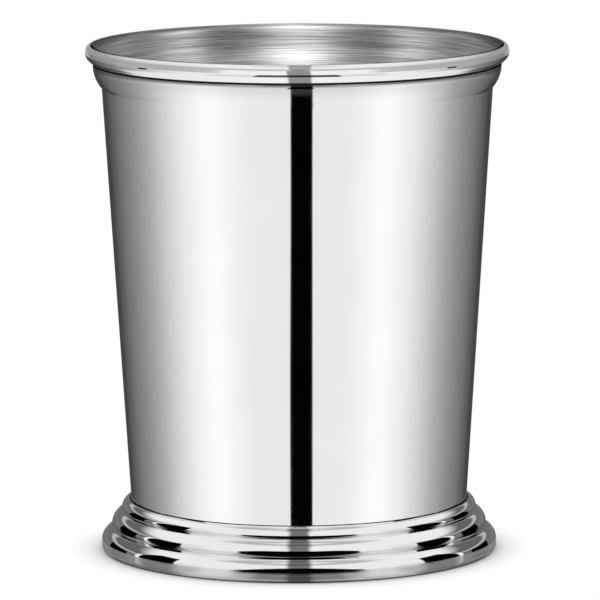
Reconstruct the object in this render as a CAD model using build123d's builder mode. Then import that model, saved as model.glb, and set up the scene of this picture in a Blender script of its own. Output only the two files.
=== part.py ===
from build123d import *
import os
from math import cos, radians, sin, tan

# Julep cup: a tapered metal beaker soldered up from a sheet wall, a floor disc, a lip band and
# a stepped foot ring. It stands on Z = 0, its axis is Z, and every section is drawn in the XZ plane.

# Body: a sleeve of sheet, straight and tapered, flared into a collar under the lip
cup_height = 100.0      # table to the crest of the lip
waist_radius = 33.1     # outside of the wall at the top of the foot
wall_taper = 3.64       # lean of the wall, in degrees from upright
sheet = 0.9             # thickness of the body sheet
collar_rise = 4.5       # height of the flared collar
collar_reach = 1.72     # how far the collar flares beyond the wall

# Lip band: a moulded ring lapped over the top edge of the sheet
lip_reach = 1.45        # how far the band stands beyond the collar
lip_crown = 1.1         # radius of the outer round at the crest
lip_face = 0.55         # upright face below the crown
lip_tuck = 1.65         # radius of the round that turns the face under
undercut_lean = 50.0    # lean of the undercut below it, in degrees from upright
lip_overhang = 0.05     # how far the foot of the undercut stands beyond the collar
lip_land = 0.6          # upright inside face between the inner round and the lap
quirk = 0.35            # shadow groove between the collar and the band

# Foot ring: a round bead, an ovolo and a heavy base moulding, hollow underneath
bead_rise = 2.38
bead_reach = 1.75
bead_swell = 0.73       # how far the bead bulges beyond its chord
ovolo_rise = 3.38
ovolo_reach = 1.93
ovolo_swell = 0.88      # how far the ovolo bulges beyond its chord
base_shoulder = 2.05    # height of the base moulding's curved shoulder
base_reach = 2.15
base_swell = 0.46       # how far the shoulder bulges beyond its chord
base_face = 1.35        # upright face of the base moulding
base_round = 1.0        # rounding under the face
rest_width = 2.0        # flat ring that meets the table
relief_lean = 1.0       # lean of the hollow's outer side
ledge_width = 1.5       # how far the inner ledge reaches under the floor disc
ledge_thickness = 1.3

# Floor disc and the solder in the joints
seat_height = 4.04      # length of wall held in the foot ring
floor_thickness = 1.0
floor_border = 6.0      # flat border around the shallow dome
floor_dome = 0.8        # rise of the dome at its centre
solder_film = 0.12      # thickness of solder in every joint
solder_setback = 0.4    # how far the foot solder stays below the top of the foot
cove = 0.9              # solder fillet in the corner inside the cup
cove_hollow = 0.2       # how far the fillet is hollowed below its chord

# Heights, from the table up
base_rise = base_shoulder + base_face + base_round
foot_height = base_rise + ovolo_rise + bead_rise
wall_foot = foot_height - seat_height
floor_top = wall_foot - solder_film
floor_underside = floor_top - floor_thickness
ledge_top = floor_underside - solder_film
ledge_underside = ledge_top - ledge_thickness
tuck_drop = lip_tuck * sin(radians(undercut_lean))
tuck_depth = lip_tuck * (1 - cos(radians(undercut_lean)))
face_foot = cup_height - lip_crown - lip_face
tuck_foot = face_foot - tuck_drop
lip_foot = tuck_foot - (lip_reach - lip_overhang - tuck_depth) / tan(radians(undercut_lean))
collar_top = lip_foot - quirk
collar_foot = collar_top - collar_rise

# Radii
slope = tan(radians(wall_taper))
sheet_across = sheet / cos(radians(wall_taper))


def wall_radius(height):
    """Outside radius of the tapered wall at a height."""
    return waist_radius + (height - foot_height) * slope


collar_radius = wall_radius(collar_foot) + collar_reach
collar_curve = (collar_reach**2 + collar_rise**2) / (2 * collar_reach)
mouth_radius = collar_radius - sheet
lap_radius = collar_radius - sheet / 2
lip_radius = collar_radius + lip_reach
lip_inner_round = lip_radius - lip_crown - mouth_radius
lap_top = cup_height - lip_inner_round - lip_land
tongue_top = lap_top - solder_film
floor_radius = wall_radius(wall_foot)
ledge_radius = floor_radius - ledge_width
bead_foot = waist_radius + bead_reach
ovolo_foot = bead_foot + ovolo_reach
foot_radius = ovolo_foot + base_reach

os.makedirs("parts", exist_ok=True)

# Body wall: the flared sleeve, with the outer half of its top edge turned away for the lip band
with BuildPart() as body_wall:
    with BuildSketch(Plane.XZ) as wall_section:
        with BuildLine():
            Polyline((0, tongue_top), (0, wall_foot), (floor_radius, wall_foot),
                     (wall_radius(collar_foot), collar_foot))
            TangentArc((collar_radius, collar_top), (wall_radius(collar_foot), collar_foot), tangent=(0, -1))
            Polyline((collar_radius, collar_top), (lap_radius, collar_top),
                     (lap_radius, tongue_top), (0, tongue_top))
        make_face()
        with BuildLine(mode=Mode.PRIVATE) as bore:
            Polyline((0, wall_foot), (floor_radius - sheet_across, wall_foot),
                     (wall_radius(collar_top) - sheet_across, collar_top), (mouth_radius, collar_top),
                     (mouth_radius, tongue_top), (0, tongue_top), close=True)
        make_face(bore.edges(), mode=Mode.SUBTRACT)
        with Locations((collar_radius - collar_curve, collar_top)):
            Circle(collar_curve - sheet, mode=Mode.SUBTRACT)
    revolve(axis=Axis.Z)
body_wall.part.label = "body_wall"
export_step(body_wall.part, "parts/body_wall.step")

# Floor disc: flat where the wall stands on it, domed up in the middle so that it cannot drum
with BuildPart() as floor_disc:
    dome_radius = floor_radius - sheet_across - cove - floor_border
    with BuildSketch(Plane.XZ) as floor_section:
        with BuildLine():
            Polyline((0, floor_top + floor_dome), (0, floor_underside + floor_dome))
            TangentArc((0, floor_underside + floor_dome), (dome_radius, floor_underside), tangent=(1, 0))
            Polyline((dome_radius, floor_underside), (floor_radius, floor_underside),
                     (floor_radius, floor_top), (dome_radius, floor_top))
            TangentArc((0, floor_top + floor_dome), (dome_radius, floor_top), tangent=(1, 0))
        make_face()
    revolve(axis=Axis.Z)
floor_disc.part.label = "floor_disc"
export_step(floor_disc.part, "parts/floor_disc.step")

# Floor solder: the film under the wall's edge and the cove that it leaves inside the cup
with BuildPart() as floor_solder:
    wall_inside = floor_radius - sheet_across
    cove_inside = wall_inside - cove
    cove_top = (wall_inside + cove * slope, wall_foot + cove)
    with BuildSketch(Plane.XZ) as floor_joint:
        with BuildLine():
            Polyline((cove_inside, floor_top), (floor_radius, floor_top), (floor_radius, wall_foot),
                     (wall_inside, wall_foot), cove_top)
            SagittaArc(cove_top, (cove_inside, floor_top), cove_hollow)
        make_face()
    revolve(axis=Axis.Z)
floor_solder.part.label = "floor_solder"
export_step(floor_solder.part, "parts/floor_solder.step")

# Lip band: round crest, upright face tucked under all round, rebated inside to cap the sheet's edge
with BuildPart() as lip_band:
    crest = (lip_radius - lip_crown, cup_height)
    rebate_radius = lap_radius + solder_film
    undercut_top = (lip_radius - tuck_depth, tuck_foot)
    with BuildSketch(Plane.XZ) as lip_section:
        with BuildLine():
            Line((mouth_radius, lap_top), (mouth_radius, cup_height - lip_inner_round))
            TangentArc((mouth_radius, cup_height - lip_inner_round), crest, tangent=(0, 1))
            TangentArc(crest, (lip_radius, cup_height - lip_crown), tangent=(1, 0))
            Line((lip_radius, cup_height - lip_crown), (lip_radius, face_foot))
            TangentArc((lip_radius, face_foot), undercut_top, tangent=(0, -1))
            Polyline(undercut_top, (collar_radius + lip_overhang, lip_foot), (rebate_radius, lip_foot),
                     (rebate_radius, lap_top), (mouth_radius, lap_top))
        make_face()
    revolve(axis=Axis.Z)
lip_band.part.label = "lip_band"
export_step(lip_band.part, "parts/lip_band.step")

# Lip solder: the film between the half-thickness tongue of the wall and the rebate of the band
with BuildPart() as lip_solder:
    with BuildSketch(Plane.XZ) as lip_joint:
        with BuildLine():
            Polyline((lap_radius, lip_foot), (rebate_radius, lip_foot), (rebate_radius, lap_top),
                     (mouth_radius, lap_top), (mouth_radius, tongue_top), (lap_radius, tongue_top), close=True)
        make_face()
    revolve(axis=Axis.Z)
lip_solder.part.label = "lip_solder"
export_step(lip_solder.part, "parts/lip_solder.step")

# Foot ring: stepped mouldings outside, a tapered seat and ledge inside, a hollow underneath
with BuildPart() as foot_ring:
    foot_crest = (waist_radius + solder_film, foot_height)
    bead_notch = (bead_foot, base_rise + ovolo_rise)
    ovolo_notch = (ovolo_foot, base_rise)
    shoulder_foot = (foot_radius, base_face + base_round)
    rest_outside = (foot_radius - base_round, 0)
    rest_inside = (foot_radius - base_round - rest_width, 0)
    seat_radius = floor_radius + solder_film
    with BuildSketch(Plane.XZ) as foot_section:
        with BuildLine():
            SagittaArc(foot_crest, bead_notch, bead_swell)
            SagittaArc(bead_notch, ovolo_notch, ovolo_swell)
            SagittaArc(ovolo_notch, shoulder_foot, base_swell)
            Line(shoulder_foot, (foot_radius, base_round))
            TangentArc((foot_radius, base_round), rest_outside, tangent=(0, -1))
            Polyline(rest_outside, rest_inside, (rest_inside[0] - relief_lean, ledge_underside),
                     (ledge_radius, ledge_underside), (ledge_radius, ledge_top), (seat_radius, ledge_top),
                     (seat_radius, wall_foot), foot_crest)
        make_face()
    revolve(axis=Axis.Z)
foot_ring.part.label = "foot_ring"
export_step(foot_ring.part, "parts/foot_ring.step")

# Foot solder: the film that beds the floor disc on the ledge and the wall in the tapered seat
with BuildPart() as foot_solder:
    solder_top = foot_height - solder_setback
    with BuildSketch(Plane.XZ) as foot_joint:
        with BuildLine():
            Polyline((ledge_radius, ledge_top), (seat_radius, ledge_top), (seat_radius, wall_foot),
                     (wall_radius(solder_top) + solder_film, solder_top), (wall_radius(solder_top), solder_top),
                     (floor_radius, wall_foot), (floor_radius, floor_underside),
                     (ledge_radius, floor_underside), close=True)
        make_face()
    revolve(axis=Axis.Z)
foot_solder.part.label = "foot_solder"
export_step(foot_solder.part, "parts/foot_solder.step")
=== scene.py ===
from math import asin, atan, ceil, cos, pi, radians, sin, sqrt, tan

import bpy
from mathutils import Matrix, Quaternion, Vector


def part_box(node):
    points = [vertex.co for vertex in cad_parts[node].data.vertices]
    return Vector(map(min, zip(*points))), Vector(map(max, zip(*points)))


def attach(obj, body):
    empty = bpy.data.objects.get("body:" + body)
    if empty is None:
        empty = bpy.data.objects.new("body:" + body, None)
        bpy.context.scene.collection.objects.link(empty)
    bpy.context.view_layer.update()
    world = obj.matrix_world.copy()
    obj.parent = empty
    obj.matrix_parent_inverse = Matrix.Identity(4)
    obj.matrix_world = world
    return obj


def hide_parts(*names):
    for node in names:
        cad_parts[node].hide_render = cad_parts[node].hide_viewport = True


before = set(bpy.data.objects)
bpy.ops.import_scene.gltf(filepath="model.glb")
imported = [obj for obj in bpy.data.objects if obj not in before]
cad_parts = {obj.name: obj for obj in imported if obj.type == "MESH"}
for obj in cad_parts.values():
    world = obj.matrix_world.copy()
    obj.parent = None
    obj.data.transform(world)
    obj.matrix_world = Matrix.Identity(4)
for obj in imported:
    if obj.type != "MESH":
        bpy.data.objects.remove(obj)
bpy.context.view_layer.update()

# Body wall: the tapered sleeve of sheet metal, flared at its top into a collar.
# It is raised from one sheet. The outside is buffed to a mirror, and the inside keeps the fine
# rings of the satin wheel. Its top edge is thinned to a tongue that the lip band laps over.
wall_low, wall_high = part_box("body_wall")
wall_taper = tan(radians(3.64))
sheet = 0.0009
collar_rise = 0.0045
collar_reach = 0.00172
quirk = 0.00035         # shadow groove between the collar and the lip band

lip_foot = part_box("lip_band")[0].z
collar_top = lip_foot - quirk
collar_radius = wall_high.x
collar_foot = collar_top - collar_rise
wall_top_radius = collar_radius - collar_reach
wall_foot_radius = wall_top_radius - (collar_foot - wall_low.z) * wall_taper
sheet_across = sheet / cos(atan(wall_taper))
mouth_radius = collar_radius - sheet
tongue_radius = collar_radius - sheet / 2
collar_turn = 2 * atan(collar_reach / collar_rise)


class Section:
    """A piece's section, drawn in the XZ plane as runs and arcs, then turned about the cup's axis."""

    def __init__(self, name, radius, height):
        bpy.ops.object.select_all(action="DESELECT")
        bpy.ops.mesh.primitive_plane_add(enter_editmode=True)
        bpy.ops.mesh.merge(type="CENTER")
        bpy.ops.transform.translate(value=(radius, 0, height))
        self.piece = bpy.context.object
        self.piece.name = self.piece.data.name = name
        self.end = Vector((radius, 0, height))

    def run(self, radius, height, hold=0.00002):
        """Draws straight on to a radius and height, with holding edges that keep it flat when shaded."""
        end = Vector((radius, 0, height))
        ahead = (end - self.end).normalized() * hold
        for stop in (self.end + ahead, end - ahead, end):
            bpy.ops.mesh.extrude_vertices_move(TRANSFORM_OT_translate={"value": stop - self.end})
            self.end = stop

    def arc(self, radius, height, turn, step=radians(4)):
        """Draws a round stretch that turns left by an angle, or right if it is negative."""
        end = Vector((radius, 0, height))
        chord = end - self.end
        left = Vector((-chord.z, 0, chord.x))
        centre = (self.end + end) / 2 + left / (2 * tan(turn / 2))
        bpy.ops.mesh.spin(steps=ceil(abs(turn) / step), angle=turn, center=centre, axis=(0, 1, 0))
        self.end = end

    def turned(self, around=512):
        """Turns the section into a closed piece, smooth but for its edges."""
        bpy.ops.mesh.select_all(action="SELECT")
        bpy.ops.mesh.spin(steps=around, angle=2 * pi, center=(0, 0, 0), axis=(0, 0, 1))
        bpy.ops.mesh.select_all(action="SELECT")
        bpy.ops.mesh.remove_doubles(threshold=1e-6)
        bpy.ops.mesh.normals_make_consistent(inside=False)
        bpy.ops.object.mode_set(mode="OBJECT")
        bpy.ops.object.shade_smooth_by_angle(angle=radians(20))
        return self.piece


class Wire:
    """An output in a node tree. Arithmetic on wires adds Math nodes to the tree."""

    def __init__(self, tree, socket=None):
        self.tree, self.socket = tree, socket

    def node(self, kind, settings={}, sockets={}, output=0):
        """Adds a node with its settings and what feeds its sockets, and gives one of its outputs."""
        node = self.tree.nodes.new("ShaderNode" + kind)
        for name, value in settings.items():
            if name == "stops":
                ramp = node.color_ramp.elements
                for _ in value[2:]:
                    ramp.new(0.5)
                for element, (place, level) in zip(ramp, value):
                    element.position, element.color = place, (level, level, level, 1)
            else:
                setattr(node, name, value)
        for name, value in sockets.items():
            if isinstance(value, Wire):
                value.feed(node.inputs[name])
            else:
                node.inputs[name].default_value = value
        return Wire(self.tree, node.outputs[output])

    def feed(self, socket):
        self.tree.links.new(self.socket, socket)

    def maths(self, operation, *values):
        return self.node("Math", {"operation": operation}, dict(enumerate(values)))

    def __add__(self, other):
        return self.maths("ADD", self, other)

    def __sub__(self, other):
        return self.maths("SUBTRACT", self, other)

    def __rsub__(self, other):
        return self.maths("SUBTRACT", other, self)

    def __mul__(self, other):
        return self.maths("MULTIPLY", self, other)

    __radd__, __rmul__ = __add__, __mul__


def past(wire, start, end):
    """0 before a start and 1 past an end, with a soft step between."""
    return wire.node("MapRange", {"interpolation_type": "SMOOTHSTEP"},
                     {"Value": wire, "From Min": start, "From Max": end})


def within(wire, rise, fall):
    """1 between a soft step up and a soft step down, each given by where it starts and ends."""
    return past(wire, *rise) * (1 - past(wire, *fall))


def by_stops(wire, *stops):
    """A level that follows a wire from stop to stop. Each stop is a value and its level."""
    last = stops[-1][0]
    return wire.node("ValToRGB", {"stops": [(value / last, level) for value, level in stops]},
                     {"Fac": wire * (1 / last)})


def noise(place, scale, detail=4):
    """Cloudy noise over a place, with about this many clouds to each unit of length."""
    return place.node("TexNoise", {}, {"Vector": place, "Scale": scale, "Detail": detail})


def grain(place, along, across):
    """Noise drawn out into rings about the axis: its lengths along and across the rings in metres."""
    x, y, z = (place.node("SeparateXYZ", {}, {0: place}, output=axis) for axis in "XYZ")
    ring = z + place.maths("SQRT", x * x + y * y)
    drawn = {"X": x * (1 / along), "Y": y * (1 / along), "Z": ring * (1 / across)}
    return noise(place.node("CombineXYZ", {}, drawn), 1.0, detail=3)


def new_finish(name):
    """A bare metal: its material, its shader, and a wire that carries its Object coordinates."""
    finish = bpy.data.materials.new(name)
    finish.use_nodes = True
    shader = finish.node_tree.nodes["Principled BSDF"]
    shader.inputs["Metallic"].default_value = 1
    place = Wire(finish.node_tree).node("TexCoord", output="Object")
    return finish, shader, place


def mirror_finish():
    """Buffed metal: a clear mirror with a breath of haze, and a painted shadow in its colour just under
    the groove at the lip.
    """
    shadow_rise = collar_top - 0.0009, collar_top - 0.0001
    shadow_share = 0.62
    finish, shader, place = new_finish("buffed_mirror")
    haze = noise(place, 60.0)
    hairlines = grain(place, along=0.02, across=0.0001)
    (0.025 + 0.02 * haze + 0.015 * hairlines).feed(shader.inputs["Roughness"])
    height = place.node("SeparateXYZ", {}, {0: place}, output="Z")
    # Painted shadow: the colour is darker just under the groove at the lip, where the band's shade falls.
    painted_shadow = shadow_share * within(height, shadow_rise, (collar_top, lip_foot))
    tone_and_shadow = by_stops(haze, (0.3, 0.90), (0.7, 0.94)) * (1 - painted_shadow)
    tone_and_shadow.feed(shader.inputs["Base Color"])
    return finish


def groove_shade_finish():
    """Painted shade for the narrow grooves: a near-black, dull, patchy colour that stands in for the shade
    in them.
    """
    finish, shader, place = new_finish("painted_groove_shade")
    patches = noise(place, 300.0)
    (0.5 + 0.2 * patches).feed(shader.inputs["Roughness"])
    by_stops(patches, (0.3, 0.02), (0.7, 0.06)).feed(shader.inputs["Base Color"])
    return finish


def satin_finish():
    """Metal left from the satin wheel: fine bright and dark rings, and a glow drawn out across them."""
    finish, shader, place = new_finish("satin_rings")
    shader.inputs["Anisotropic"].default_value = 0.95
    shader.inputs["Anisotropic Rotation"].default_value = 0.25
    fine = grain(place, along=0.014, across=0.00018)
    broad = grain(place, along=0.05, across=0.0008)
    lines = 0.75 * fine + 0.25 * broad
    (0.30 + 0.14 * lines).feed(shader.inputs["Roughness"])
    by_stops(lines, (0.37, 0.4), (0.6, 1.0)).feed(shader.inputs["Base Color"])
    bump = lines.node("Bump", {}, {"Height": lines, "Strength": 0.35, "Distance": 0.00004})
    bump.feed(shader.inputs["Normal"])
    return finish


collar_curve = (collar_reach**2 + collar_rise**2) / (2 * collar_reach)
inner_curve = collar_curve - sheet
bore_reach = wall_top_radius + collar_rise * wall_taper - sheet_across - (collar_radius - collar_curve)
bore_slant = 1 + wall_taper**2
inner_drop = (wall_taper * bore_reach
              + sqrt(bore_slant * inner_curve**2 - bore_reach**2)) / bore_slant
inner_foot_radius = collar_radius - collar_curve + bore_reach - inner_drop * wall_taper

section = Section("julep_body", wall_foot_radius, wall_low.z)
section.run(wall_top_radius, collar_foot)
section.arc(collar_radius, collar_top, collar_turn)
section.run(tongue_radius, collar_top)
section.run(tongue_radius, wall_high.z)
section.run(mouth_radius, wall_high.z)
section.run(mouth_radius, collar_top)
section.arc(inner_foot_radius, collar_top - inner_drop, -asin(inner_drop / inner_curve))
section.run(wall_foot_radius - sheet_across, wall_low.z)
section.run(wall_foot_radius, wall_low.z)
body = section.turned()

mirror = mirror_finish()
satin = satin_finish()
groove_shade = groove_shade_finish()
satin_slot, groove_shade_slot = 1, 2
facing_in = cos(radians(60))            # how squarely a face looks at the axis where it is satin
groove_floor = collar_top - quirk / 100
for finish in (mirror, satin, groove_shade):
    body.data.materials.append(finish)
# Faces that look at the axis are satin. Faces in the groove under the lip band get painted shade.
for face in body.data.polygons:
    if -face.normal.xy.dot(face.center.xy) > facing_in * face.center.xy.length:
        face.material_index = satin_slot
    elif face.center.z > groove_floor:
        face.material_index = groove_shade_slot
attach(body, "root")
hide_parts("body_wall")

# Floor disc: the bottom of the cup, a disc of the same sheet that the wall stands on.
# It is flat at its border and pressed up into a shallow dome, so that it cannot drum, and it is
# satin on both sides.
floor_low, floor_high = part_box("floor_disc")
floor_thickness = 0.001
floor_border = 0.006
cove = 0.0009           # solder fillet in the corner inside the cup

floor_radius = floor_high.x
border_top = floor_low.z + floor_thickness
floor_dome = floor_high.z - border_top
dome_radius = floor_radius - sheet_across - cove - floor_border
dome_turn = 2 * atan(floor_dome / dome_radius)
dome_step = radians(0.5)

section = Section("cup_floor", 0, floor_low.z + floor_dome)
section.arc(dome_radius, floor_low.z, -dome_turn, dome_step)
section.run(floor_radius, floor_low.z)
section.run(floor_radius, border_top)
section.run(dome_radius, border_top)
section.arc(0, floor_high.z, dome_turn, dome_step)
cup_floor = section.turned()
cup_floor.data.materials.append(satin)
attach(cup_floor, "root")
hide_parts("floor_disc")

# Lip band: a moulded ring with a round crest, an upright face and an undercut.
# It is drawn through a die, bent to a hoop, and lapped over the thinned edge of the wall.
lip_low, lip_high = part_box("lip_band")
lip_crown = 0.0011      # radius of the outer round at the crest
lip_face = 0.00055
lip_tuck = 0.00165      # radius of the round that turns the face under
undercut_lean = radians(50)
lip_overhang = 0.00005
lip_land = 0.0006
solder_film = 0.00012

lip_radius = lip_high.x
crest_radius = lip_radius - lip_crown
inner_round = crest_radius - mouth_radius
lap_top = lip_high.z - inner_round - lip_land
face_foot = lip_high.z - lip_crown - lip_face
tuck_radius = lip_radius - lip_tuck * (1 - cos(undercut_lean))
tuck_foot = face_foot - lip_tuck * sin(undercut_lean)
rebate_radius = tongue_radius + solder_film

section = Section("lip_moulding", mouth_radius, lap_top)
section.run(rebate_radius, lap_top)
section.run(rebate_radius, lip_low.z)
section.run(collar_radius + lip_overhang, lip_low.z)
section.run(tuck_radius, tuck_foot)
section.arc(lip_radius, face_foot, undercut_lean)
section.run(lip_radius, lip_high.z - lip_crown)
section.arc(crest_radius, lip_high.z, radians(90))
section.arc(mouth_radius, lip_high.z - inner_round, radians(90))
section.run(mouth_radius, lap_top)
lip = section.turned()
satin_top = sin(radians(72))            # the satin runs up the inner round until it faces up by this
facing_down = -0.99
for finish in (mirror, satin, groove_shade):
    lip.data.materials.append(finish)
# The underside of the lip band, over the groove, gets painted shade.
for face in lip.data.polygons:
    if face.normal.xy.dot(face.center.xy) < 0 and face.normal.z < satin_top:
        face.material_index = satin_slot
    elif face.normal.z < facing_down:
        face.material_index = groove_shade_slot
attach(lip, "root")
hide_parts("lip_band")

# Foot ring: the stepped foot, with a bead, an ovolo and a heavy base moulding, hollow underneath.
# It is cast, turned and buffed, with a tapered seat for the wall and a ledge for the floor disc.
foot_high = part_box("foot_ring")[1]
bead_rise, bead_reach, bead_swell = 0.00238, 0.00175, 0.00073
ovolo_rise, ovolo_reach, ovolo_swell = 0.00338, 0.00193, 0.00088
base_shoulder, base_reach, base_swell = 0.00205, 0.00215, 0.00046
base_face, base_round = 0.00135, 0.001
rest_width = 0.002
relief_lean = 0.001
ledge_width = 0.0015
ledge_thickness = 0.0013

foot_radius = foot_high.x
shoulder_foot = Vector((foot_radius, 0, base_face + base_round))
ovolo_foot = shoulder_foot + Vector((-base_reach, 0, base_shoulder))
bead_foot = ovolo_foot + Vector((-ovolo_reach, 0, ovolo_rise))
foot_crest = bead_foot + Vector((solder_film - bead_reach, 0, bead_rise))
ledge_top = floor_low.z - solder_film
ledge_underside = ledge_top - ledge_thickness
ledge_radius = floor_radius - ledge_width
seat_radius = floor_radius + solder_film
rest_outside = foot_radius - base_round
rest_inside = rest_outside - rest_width


def swell_turn(start, end, swell):
    """The turn of an arc that stands out by a swell from the straight line between two points."""
    return 4 * atan(2 * swell / (end - start).length)


section = Section("foot_moulding", rest_outside, 0)
section.arc(foot_radius, base_round, radians(90))
section.run(shoulder_foot.x, shoulder_foot.z)
section.arc(ovolo_foot.x, ovolo_foot.z, swell_turn(shoulder_foot, ovolo_foot, base_swell))
section.arc(bead_foot.x, bead_foot.z, swell_turn(ovolo_foot, bead_foot, ovolo_swell))
section.arc(foot_crest.x, foot_crest.z, swell_turn(bead_foot, foot_crest, bead_swell))
section.run(seat_radius, wall_low.z)
section.run(seat_radius, ledge_top)
section.run(ledge_radius, ledge_top)
section.run(ledge_radius, ledge_underside)
section.run(rest_inside - relief_lean, ledge_underside)
section.run(rest_inside, 0)
section.run(rest_outside, 0)
foot = section.turned(around=720)
facing_up = sin(radians(80))
foot_groove_shade_slot = 1
foot.data.materials.append(mirror)
foot.data.materials.append(groove_shade)
# The up-facing tops by the wall get painted shade, a dark line where the foot meets the wall.
for face in foot.data.polygons:
    if face.normal.z > facing_up and face.center.z > bead_foot.z + bead_rise / 2:
        face.material_index = foot_groove_shade_slot
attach(foot, "root")
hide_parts("foot_ring")

# Solder: the thin films that hold wall, floor, lip band and foot ring together.
# It is flowed in, and only the cove in the corner inside the cup is seen, scraped smooth.


def solder_finish():
    """Soft solder: greyer than the sheet, dull, with faint scrape marks."""
    finish, shader, place = new_finish("dull_solder")
    patches = noise(place, 900.0)
    (0.3 + 0.25 * patches).feed(shader.inputs["Roughness"])
    by_stops(patches, (0.3, 0.52), (0.7, 0.68)).feed(shader.inputs["Base Color"])
    return finish


solder = solder_finish()
for joint in ("floor_solder", "lip_solder", "foot_solder"):
    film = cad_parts[joint]
    film.data.materials.clear()
    film.data.materials.append(solder)

# Studio floor: a glossy white sheet that keeps only the cup's contact shadow.
# The foot mirrors its gloss, and close by its greyer paper, with a dark strip in front and a lit
# stretch and a black flag at each side. Pieces higher up see the tent through it.
stage_size = 40
stage_shift = 4         # keeps the line where the sheet's two triangles meet away from the cup
shadow_reach = 0.0068
paper_grey, paper_gloss = 0.36, 0.4
base_edge, upper_edge = 0.0485, 0.0447  # radii where the grey ends for the base, and for what is over it
paper_soft, edge_soft, notch_soft = 0.0015, 0.0006, 0.0004
strip_half, strip_level = (0.0020, 0.0045), 0.35
lit_rise, lit_fall, lit_gain = (12.0, 18.0), (32.0, 40.0), 0.9  # degrees round the foot from the front
flag_rise, flag_fall = (46.0, 50.0), (62.0, 68.0)

bpy.ops.object.select_all(action="DESELECT")
bpy.ops.mesh.primitive_plane_add(size=stage_size, location=(stage_shift, 0, 0))
bpy.ops.object.transform_apply()
studio_floor = bpy.context.object
studio_floor.name = "studio_floor"
paper = bpy.data.materials.new("glossy_white_sheet")
paper.use_nodes = True
studio_floor.data.materials.append(paper)
paper.node_tree.nodes.remove(paper.node_tree.nodes["Principled BSDF"])
pen = Wire(paper.node_tree)


def between(low, high, share):
    """The first value where the share is 0, and the second where it is 1."""
    return low + (high - low) * share


contact = pen.node("AmbientOcclusion", {"samples": 16}, {"Distance": shadow_reach}, output="AO")
place = pen.node("TexCoord", output="Object")
radius = pen.node("VectorMath", {"operation": "LENGTH"}, {0: place}, output="Value")
across, along = (pen.node("SeparateXYZ", {}, {0: place}, output=axis) for axis in "XY")
aside = pen.maths("ABSOLUTE", across)
round_foot = pen.maths("DEGREES", pen.maths("ARCTAN2", aside, 0 - along))

# A mirrored sight's start height over the sheet tells the base, the mouldings and the wall apart.
straight_down = 1 - pen.node("LayerWeight", {}, {"Blend": 0.5}, output="Facing")
sight_height = straight_down * pen.node("LightPath", output="Ray Length")
from_foot = pen.maths("LESS_THAN", sight_height, foot_high.z)
from_base = 1 - past(sight_height, ovolo_foot.z - notch_soft, ovolo_foot.z)
over_base = past(sight_height, ovolo_foot.z, ovolo_foot.z + notch_soft)
over_face = past(sight_height, shoulder_foot.z, shoulder_foot.z + edge_soft)

flag = within(round_foot, flag_rise, flag_fall) * over_base
lit = 1 + lit_gain * from_base * within(round_foot, lit_rise, lit_fall)
lit = lit * between(strip_level, 1.0, past(aside, *strip_half)) * (1 - flag)
white = pen.node("Emission", {}, {"Color": contact})
grey = pen.node("Emission", {}, {"Color": paper_grey * contact * lit})
gloss = pen.node("BsdfGlossy", {}, {"Roughness": 0.0})
paper_end = past(radius - between(base_edge, upper_edge, over_face), -paper_soft, paper_soft)
mirrored = pen.node("MixShader", {}, {0: between(paper_gloss, 1.0, paper_end), 1: grey, 2: gloss})
clear = pen.node("BsdfTransparent")
to_metal = pen.node("MixShader", {}, {0: from_foot, 1: clear, 2: mirrored})
to_camera = pen.node("LightPath", output="Is Camera Ray")
sheet_look = pen.node("MixShader", {}, {0: to_camera, 1: to_metal, 2: white})
sheet_look.feed(paper.node_tree.nodes["Material Output"].inputs["Surface"])

# Cards: level cards round the cup that show only in the metal, never to the camera.
# One with black flags lies just above the foot. One at the foot of the lip lights its underside and
# shades it in front. A pale one over the lip has a hole the size of the mouth.


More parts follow.
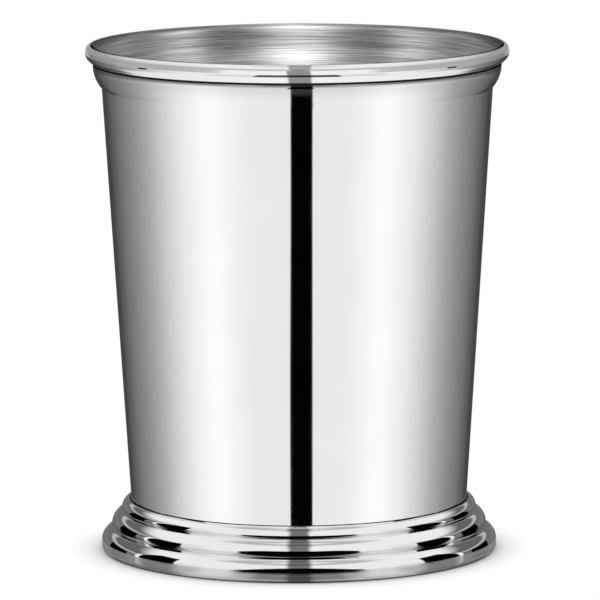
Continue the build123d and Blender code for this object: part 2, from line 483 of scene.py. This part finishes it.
class Card:
    """A level card, and what its look is made from: where it is met, and the sight's slope and start."""

    def __init__(self, name, height, met_from_below, round_radius):
        bpy.ops.object.select_all(action="DESELECT")
        bpy.ops.mesh.primitive_plane_add(size=stage_size, location=(0, 0, height))
        bpy.ops.object.transform_apply()
        self.round_radius = round_radius
        card = bpy.context.object
        card.name = name
        look = bpy.data.materials.new(name)
        look.use_nodes = True
        card.data.materials.append(look)
        look.node_tree.nodes.remove(look.node_tree.nodes["Principled BSDF"])
        self.surface = look.node_tree.nodes["Material Output"].inputs["Surface"]
        self.pen = pen = Wire(look.node_tree)
        back = pen.node("NewGeometry", output="Backfacing")
        not_camera = 1 - pen.node("LightPath", output="Is Camera Ray")
        self.met = not_camera * (back if met_from_below else 1 - back)
        place = pen.node("TexCoord", output="Object")
        self.across, along = (pen.node("SeparateXYZ", {}, {0: place}, output=axis) for axis in "XY")
        self.aside = pen.maths("ABSOLUTE", self.across)
        self.ahead = 0 - along
        self.in_front = pen.maths("GREATER_THAN", self.ahead, 0.0)
        self.radius = pen.maths("SQRT", self.aside * self.aside + along * along)
        self.round = pen.maths("DEGREES", pen.maths("ARCTAN2", self.aside, self.ahead))
        steepness = 1 - pen.node("LayerWeight", {}, {"Blend": 0.5}, output="Facing")
        self.slope = pen.maths("DEGREES", pen.maths("ARCSINE", steepness))
        self.start = height - pen.node("LightPath", output="Ray Length") * steepness

    def past_turn(self, turn, soft, early=0.0):
        """1 where light leaving the cup's round has turned past an angle from the camera, and 0 before."""
        reach = self.ahead * sin(radians(turn)) - self.aside * cos(radians(turn))
        reach = reach - early - self.round_radius * sin(radians(turn / 2))
        return past(self.pen.maths("DIVIDE", reach, soft), 1.0, -1.0)

    def flag(self, start, end, soft, early=0.0):
        """1 between two turns. The second may come early, by a distance on the card."""
        return self.past_turn(start, soft) * (1 - self.past_turn(end, soft, early))

    def lower_than(self, slope, soft=1.5):
        """1 for a sight that climbs by less than a slope, and 0 for a steeper one."""
        return 1 - past(self.slope - slope, -soft, soft)

    def show(self, share, level):
        """Shows a level of light where the share is 1, and nothing where it is 0."""
        light = self.pen.node("Emission", {}, {"Color": level})
        clear = self.pen.node("BsdfTransparent")
        mixed = self.pen.node("MixShader", {}, {0: share * self.met, 1: clear, 2: light})
        mixed.feed(self.surface)


# The foot's card. Slopes and turns are in degrees, and levels by start height step at the notches.
right_angle = 90
card_lift = 0.0018
card_hole = 0.0333, 0.0334              # its inner edge, close round the wall
front_level = 0.9
side_edge = 58, 0.78, 0.004             # each edge's turn, the level past it, and its softness
end_edge = 103, 0.95, 0.001
streak_turn, streak_soft = 110, 0.0006
streak_round, streak_back = (50.0, 64.0), 9.0
steep_slopes = 30.0, 70.0
overhead_slopes = 14.0, 28.0            # where a sight goes over from the card to what hangs above it
stripe_turn, stripe_level, stripe_soft, stripe_shift = 6.4, 0.2, 0.0009, 0.0005
floor_start = 0.0003, 0.0006            # a sight that starts this low comes off the floor sheet
flag_soft, floor_flag_soft = 0.0004, 0.009
flag_rounding = 0.004
side_flag, back_flag, back_flag_top = (77, 106), (119, 143), 13.0
curve_start, curve_spread = 0.049, 0.035
curve_soft, floor_curve_soft = 0.08, 1.2

foot_card = Card("foot_card", foot_high.z + card_lift, True, ovolo_foot.x)
streaks = by_stops(foot_card.slope, (0, 0.2), (14, 0.14), (16, 0.5), (18, 0.5), (20, 0.13), (40, 0.13),
                   (47, 0.36), (50, 0.36), (56, 0.15))
overhead = by_stops(foot_card.slope, (62, 0.9), (71, 0.5), (77, 0.5), (85, 0.9))
flag_top = right_angle * by_stops(
    foot_card.start, (0, 0.55), (0.0043, 0.44), (0.0045, 0.2), (0.0077, 0.2), (0.0079, 0.23),
    (0.0100, 0.23), (0.0102, 0.55))
bench_top = right_angle * by_stops(
    foot_card.start, (0, 0.55), (0.0043, 0.46), (0.0045, 0.21), (0.0077, 0.21), (0.0079, 0.0))
rounding = foot_card.pen.maths("DIVIDE", foot_card.slope, flag_top)
rounding = flag_rounding * rounding * rounding

pale = front_level
for turn, level, soft in (side_edge, end_edge):
    pale = between(pale, level, foot_card.past_turn(turn, soft))
pale = between(pale, streaks, foot_card.past_turn(streak_turn, streak_soft, rounding))
steep = past(foot_card.slope, *steep_slopes)
outer = past(foot_card.round - between(streak_back, 0.0, steep), *streak_round)
pale = between(pale, between(overhead, streaks, outer), past(foot_card.slope, *overhead_slopes))
beside_stripe = foot_card.past_turn(stripe_turn, stripe_soft, -stripe_shift * steep)
pale = pale * between(stripe_level, 1.0, beside_stripe)

from_floor = 1 - past(foot_card.start, *floor_start)
edge_blur = between(flag_soft, floor_flag_soft, from_floor)
curve = (foot_card.ahead * foot_card.ahead * (1 / curve_start**2)
         - foot_card.aside * foot_card.aside * (1 / curve_spread**2))
curve = foot_card.pen.maths("DIVIDE", curve - 1, between(curve_soft, floor_curve_soft, from_floor))
bench_edge = past(curve, -1.0, 1.0) * foot_card.in_front * foot_card.lower_than(bench_top)
side_flags = foot_card.flag(*side_flag, edge_blur, rounding) * foot_card.lower_than(flag_top)
back_flags = foot_card.flag(*back_flag, edge_blur) * foot_card.lower_than(back_flag_top)
pale = pale * (1 - bench_edge) * (1 - side_flags) * (1 - back_flags)
foot_card.show(past(foot_card.radius, *card_hole), pale)

# The card at the foot of the lip, with a short dark dash at each side and the strip of the gap in front.
shade_lift = 0.0001
shade_hole = 0.0421, 0.0424             # just outside the lip
near_end = 0.0452, 0.0462
dark_half, dark_share = (0.0084, 0.0096), 0.7
grey_half, grey_share = (0.0182, 0.0192), 0.2
dash_turns, far_dash_turns, far_dash_share = (88, 96), (106, 116), 0.4
dash_soft, dash_rise, dash_fall = 0.0005, (5.0, 8.0), (17.0, 21.0)
strip_offset = 0.0005
strip_half, strip_spread, strip_soft, strip_level = 0.0023, 0.11, 0.0004, 0.3
under_edge, under_slopes = (collar_radius, collar_radius + 0.0001), (30.0, 40.0)

lip_shade = Card("lip_shade", lip_low.z + shade_lift, False, lip_radius)
outside = past(lip_shade.radius, *shade_hole)
near = outside * (1 - past(lip_shade.radius, *near_end))
dark = 1 - past(lip_shade.aside, *dark_half)
grey = 1 - past(lip_shade.aside, *grey_half)
shade = lip_shade.in_front * near * (dark_share * dark + grey_share * grey)
dash = lip_shade.flag(*dash_turns, dash_soft) + far_dash_share * lip_shade.flag(*far_dash_turns, dash_soft)
dash = dash * within(lip_shade.slope, dash_rise, dash_fall)
off_strip = lip_shade.pen.maths("ABSOLUTE", lip_shade.across - strip_offset)
off_strip = off_strip - (strip_half + strip_spread * (lip_shade.ahead - lip_radius))
beside_strip = past(off_strip, -strip_soft, strip_soft)
under = past(lip_shade.radius, *under_edge) * past(lip_shade.slope, *under_slopes)
front = lip_shade.in_front * lip_shade.pen.maths("MAXIMUM", grey * outside, 1 - beside_strip)
lip_light = by_stops(lip_shade.round, (0, 0.97), (35, 0.9), (66, 0.72), (82, 0.3), (180, 0.2))
lip_light = lip_light * between(1.0, between(strip_level, 1.0, beside_strip), lip_shade.in_front)
shown = lip_shade.pen.maths("MAXIMUM", lip_shade.pen.maths("MAXIMUM", front, under), dash)
lip_shade.show(shown, lip_light * (1 - shade) * (1 - dash))

# The card over the lip, with the strip of the gap in front and a dark line inside the mouth's near edge.
card_lift = 0.0002
card_hole = 0.0405, 0.0406
strip_edge, strip_level = (0.0019, 0.0025), 0.45
lip_start = lip_low.z, lip_low.z + 0.0005
line_top, line_edge, line_end = 14.0, (0.033, 0.034), (0.006, 0.012)

lip_card = Card("lip_card", lip_high.z + card_lift, True, lip_radius)
pale = by_stops(lip_card.round, (0, 1.0), (23, 0.95), (54, 0.8), (75, 0.6))
pale = pale * by_stops(lip_card.slope, (0, 0.6), (20, 0.55), (40, 0.9), (70, 1.0), (80, 0.65), (90, 0.6))
beside_strip = past(lip_card.pen.maths("ABSOLUTE", lip_card.across - strip_offset), *strip_edge)
from_lip = past(lip_card.start, *lip_start)
outside = past(lip_card.radius, *card_hole)
inner_line = (lip_card.in_front * lip_card.lower_than(line_top) * past(lip_card.radius, *line_edge)
              * past(lip_card.aside, *line_end) * (1 - outside))
lip_card.show((outside + inner_line) * from_lip, pale * between(strip_level, 1.0, beside_strip) * outside)

# Tent: the studio that the metal mirrors, as light by direction.
# Pale screens stand round the bench with a gap at the camera, and a roof covers it all.
tent = bpy.data.worlds.new("studio_tent")
bpy.context.scene.world = tent
tent.use_nodes = True
pen = Wire(tent.node_tree)
sight = pen.node("TexCoord", output="Generated")
across, along, up = (pen.node("SeparateXYZ", {}, {0: sight}, output=axis) for axis in "XYZ")
aside = pen.maths("ABSOLUTE", across)
turn = pen.maths("DEGREES", pen.maths("ARCTAN2", aside, 0 - along))
height = pen.maths("DEGREES", pen.maths("ARCSINE", up))
dip = 0 - height

# An upright line on the metal mirrors all the directions that have one value of these two.
view_level = 0.99                       # the level part of the camera's own sight
gap_reach, gap_pull = 0.54, 0.46
behind_turns = 60.0, 80.0
sideways = pen.maths("DIVIDE", across, gap_reach - gap_pull * along)
upright_turn = pen.maths("DEGREES", pen.maths("ARCTAN2", aside, view_level - along)) * 2


def clear_of_gap(centre, half, soft):
    """0 in the gap between the screens at the camera, and 1 beside it and behind the cup."""
    beside = past(pen.maths("ABSOLUTE", sideways - centre) - half, -soft, soft)
    return pen.maths("MAXIMUM", beside, past(turn, *behind_turns))


# Below: the screens that the leaning wall mirrors, and under them the bench that the collar mirrors.
wall_dip = 7.2                          # what the wall's lean adds to the dip of a mirrored sight in front
screen_top, screen_foot = 5.2, 11.1     # the rest of that dip, at the top and the foot of the screens
wall_dips = 13.6, 17.5
wall_gap_centre, wall_gap_half, wall_gap_soft = (0.0414, 0.0292), (0.1105, 0.128), 0.004
gap_centre, gap_half, gap_soft = 0.041, 0.106, 0.006
screen_level = 1.05
rear_turns, rear_level = (150.0, 165.0), 0.06
bench_level, bench_dips = 0.85, (20.0, 58.0)
bench_gap_level, bench_gap_dips = 0.05, (25.0, 50.0)
bench_soft = 1.0

wall_view = pen.maths("COSINE", turn * radians(0.5)) * -wall_dip
screens = screen_level * by_stops(
    upright_turn, (0, 0.83), (28, 0.85), (38, 0.91), (50, 1.0), (58, 0.99), (72, 0.85),
    (91, 0.575), (101, 0.42), (116, 0.28), (142, 0.124), (158, 0.057))
screens = between(screens, rear_level, past(turn, *rear_turns))
down_the_wall = past(dip, *wall_dips)
wall_gap = clear_of_gap(between(*wall_gap_centre, down_the_wall), between(*wall_gap_half, down_the_wall),
                        wall_gap_soft)
beside_gap = clear_of_gap(gap_centre, gap_half, gap_soft)
bench_gap = between(between(bench_gap_level, 0.0, past(dip, *bench_gap_dips)), 1.0, beside_gap)
bench = screens * between(bench_level, 1.0, past(dip, *bench_dips)) * bench_gap
screen_edge = wall_view - screen_foot
below = between(bench, screens * wall_gap, past(height, screen_edge - bench_soft, screen_edge))

# Level: the bright screens that the upright face of the lip mirrors, dim in front for the collar's top.
dim_turns, dim_level, level_gap_level = (14.0, 26.0), 0.5, 0.1
level = by_stops(turn, (0, 0.98), (38, 0.95), (46, 0.6), (72, 0.48), (108, 0.42), (150, 0.22), (180, 0.8))
level = level * between(dim_level, 1.0, past(turn, *dim_turns))
level = level * between(level_gap_level, 1.0, beside_gap)

# Above: the roof that the inside of the cup mirrors, bright in front, with a lit panel low at each side.
side_level, roof_level = 2.2, 2.0
level_heights, roof_heights = (-1.0, 1.0), (18.0, 40.0)
sides = by_stops(turn, (0, 1.0), (12, 0.85), (24, 0.3), (42, 0.06), (54, 0.08), (66, 0.8), (76, 0.85),
                 (90, 0.28), (115, 0.2), (130, 0.05), (180, 0.02))
roof = by_stops(turn, (0, 1.0), (12, 0.95), (32, 0.4), (48, 0.25), (68, 0.4), (84, 0.08), (115, 0.03),
                (150, 0.03), (180, 0.3))
above = between(side_level * sides, roof_level * roof, past(height, *roof_heights))
above = between(level, above, past(height, *level_heights))

# The horizon is dim, where a level sight slips between the floor and the cards.
horizon_level, horizon_heights = 0.15, (0.2, 0.6)
top_soft = 0.3
top_edge = wall_view - screen_top
light = between(below, above, past(height, top_edge - top_soft, top_edge + top_soft))
light = between(horizon_level, light, past(pen.maths("ABSOLUTE", height), *horizon_heights))
seen = pen.maths("MAXIMUM", light, pen.node("LightPath", output="Is Camera Ray"))
seen.feed(tent.node_tree.nodes["Background"].inputs["Color"])

# Camera: at the photograph's height and distance, with its slight lean.
# A long lens, far enough off that the cup's sides keep the photograph's taper.
camera_place = Vector((0, -1.1732, 0.2185))
camera_aim = Vector((0.00036, 0, 0.0493))
camera_lean = radians(-0.22)
camera = bpy.data.objects.new("camera", bpy.data.cameras.new("camera"))
bpy.context.scene.collection.objects.link(camera)
camera.location = camera_place
camera.rotation_mode = "QUATERNION"
look = (camera_aim - camera_place).to_track_quat("-Z", "Y")
camera.rotation_quaternion = look @ Quaternion((0, 0, 1), camera_lean)
camera.data.lens = 361.5
camera.data.clip_start, camera.data.clip_end = 0.01, 20
bpy.context.scene.camera = camera
bpy.context.scene.view_settings.view_transform = "Standard"
